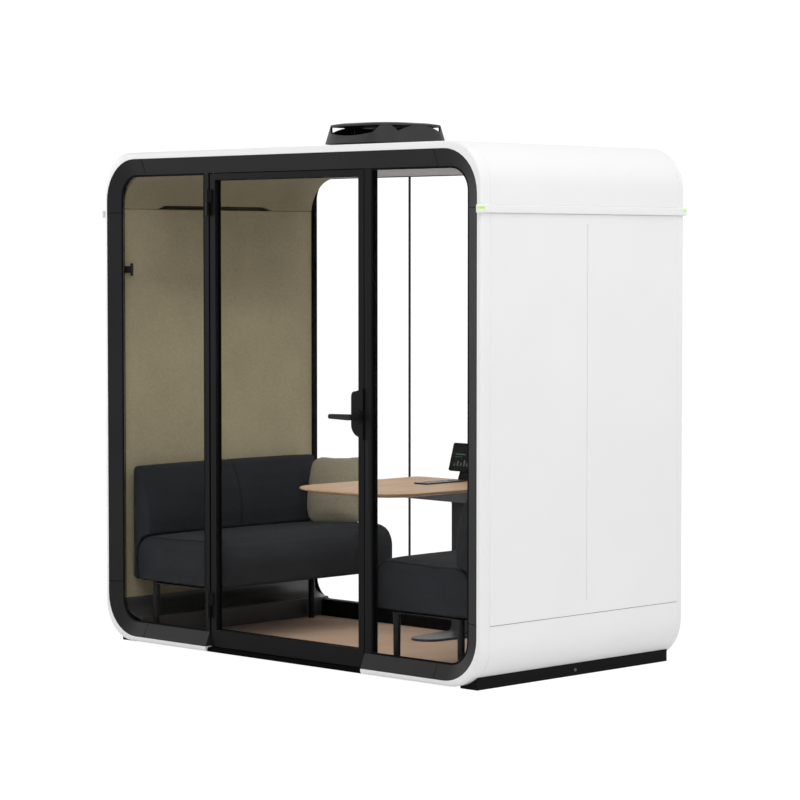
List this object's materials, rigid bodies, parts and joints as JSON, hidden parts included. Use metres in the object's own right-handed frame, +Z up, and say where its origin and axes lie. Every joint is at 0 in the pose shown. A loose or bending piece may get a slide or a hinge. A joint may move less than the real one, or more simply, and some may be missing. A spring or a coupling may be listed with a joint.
{
  "type": "acoustic office pod",
  "caption": "Free-standing acoustic office pod with a rounded white shell, glazed front with a hinged door, glazed back, facing sofas and a table.",
  "frame": {"origin": "on the ground, under the middle of the shell", "axes": "+X to the right seen from the door side, +Y to the back, +Z up"},
  "size_m": [2.23, 1.2444, 2.2059],
  "materials": {
    "shell_white": "satin painted",
    "frame_black": "black anodised",
    "base_black": "matt black",
    "clear_glass": "polished",
    "felt_khaki": "pressed felt",
    "sofa_navy": "woven",
    "carpet_brown": "short pile",
    "ceiling_grey": "acoustic felt",
    "pillow_khaki": "woven",
    "cove_black": "gloss",
    "light_lime": "lit",
    "table_oak": "matt lacquer",
    "graphite": "powder coat",
    "strip_grey": "brushed",
    "fan_black": "matt",
    "screen_dark": "satin"
  },
  "bodies": {
    "pod": {"base_frame": "base_black", "door_threshold": "base_black", "rear_skirting": "base_black", "floor_carpet": "carpet_brown", "side_panel_left": "shell_white", "side_panel_right": "shell_white", "lower_curve_left": "shell_white", "lower_curve_right": "shell_white", "light_rail_left": "shell_white", "light_rail_right": "shell_white", "roof_shell": "shell_white", "front_edge_trim": "shell_white", "rear_edge_trim": "shell_white", "light_guide_front_left": "light_lime", "light_guide_front_right": "light_lime", "light_guide_rear_left": "light_lime", "light_guide_rear_right": "light_lime", "front_frame_left": "frame_black", "front_frame_right": "frame_black", "front_frame_head": "frame_black", "rear_frame": "frame_black", "hinge_jamb": "frame_black", "lock_jamb": "frame_black", "hinge_upper_frame_half": "frame_black", "hinge_lower_frame_half": "frame_black", "coat_hook": "frame_black", "front_glass_left": "clear_glass", "front_glass_right": "clear_glass", "rear_glass_left": "clear_glass", "rear_glass_centre": "clear_glass", "rear_glass_right": "clear_glass", "power_strip": "strip_grey", "wall_felt_left": "felt_khaki", "wall_felt_right": "felt_khaki", "corner_felt_left": "felt_khaki", "corner_felt_right": "felt_khaki", "ceiling_panel": "ceiling_grey", "cove_left": "cove_black", "cove_right": "cove_black", "sofa_left_seat": "sofa_navy", "sofa_right_seat": "sofa_navy", "sofa_left_back": "sofa_navy", "sofa_right_back": "sofa_navy", "sofa_left_underframe": "graphite", "sofa_right_underframe": "graphite", "table_leg": "graphite", "pillow": "pillow_khaki", "table_top": "table_oak", "display": "screen_dark", "fan_cowl": "fan_black"},
    "door": {"door_frame": "frame_black", "door_glass": "clear_glass", "lock_case_outer": "frame_black", "lock_case_inner": "frame_black", "hinge_upper_door_half": "frame_black", "hinge_lower_door_half": "frame_black"},
    "handle": {"lever_outer": "frame_black", "lever_inner": "frame_black"},
    "latch": {"latch_bolt": "strip_grey"},
    "rotor": {"fan_rotor": "fan_black"}
  },
  "joints": [
    {"name": "door_swing", "type": "hinge", "parent": "pod", "child": "door", "pos_m": [-0.455, -0.5855, 1], "axis": [0, 0, -1], "range_deg": [0, 105]},
    {"name": "handle_turn", "type": "hinge", "parent": "door", "child": "handle", "pos_m": [0.426, -0.6, 1.0215], "axis": [0, -1, 0], "range_deg": [0, 40], "stiffness_Nm_per_rad": 1.2, "springref_deg": -28.65},
    {"name": "latch_slide", "type": "slide", "parent": "door", "child": "latch", "axis": [-1, 0, 0], "range_m": [0, 0.012]},
    {"name": "fan_spin", "type": "hinge", "parent": "pod", "child": "rotor", "pos_m": [0, 0, 2.16], "axis": [0, 0, 1], "continuous": true}
  ],
  "couplings": [
    {"joint": "latch_slide", "follows": "handle_turn", "m_per_rad": 0.0171}
  ]
}
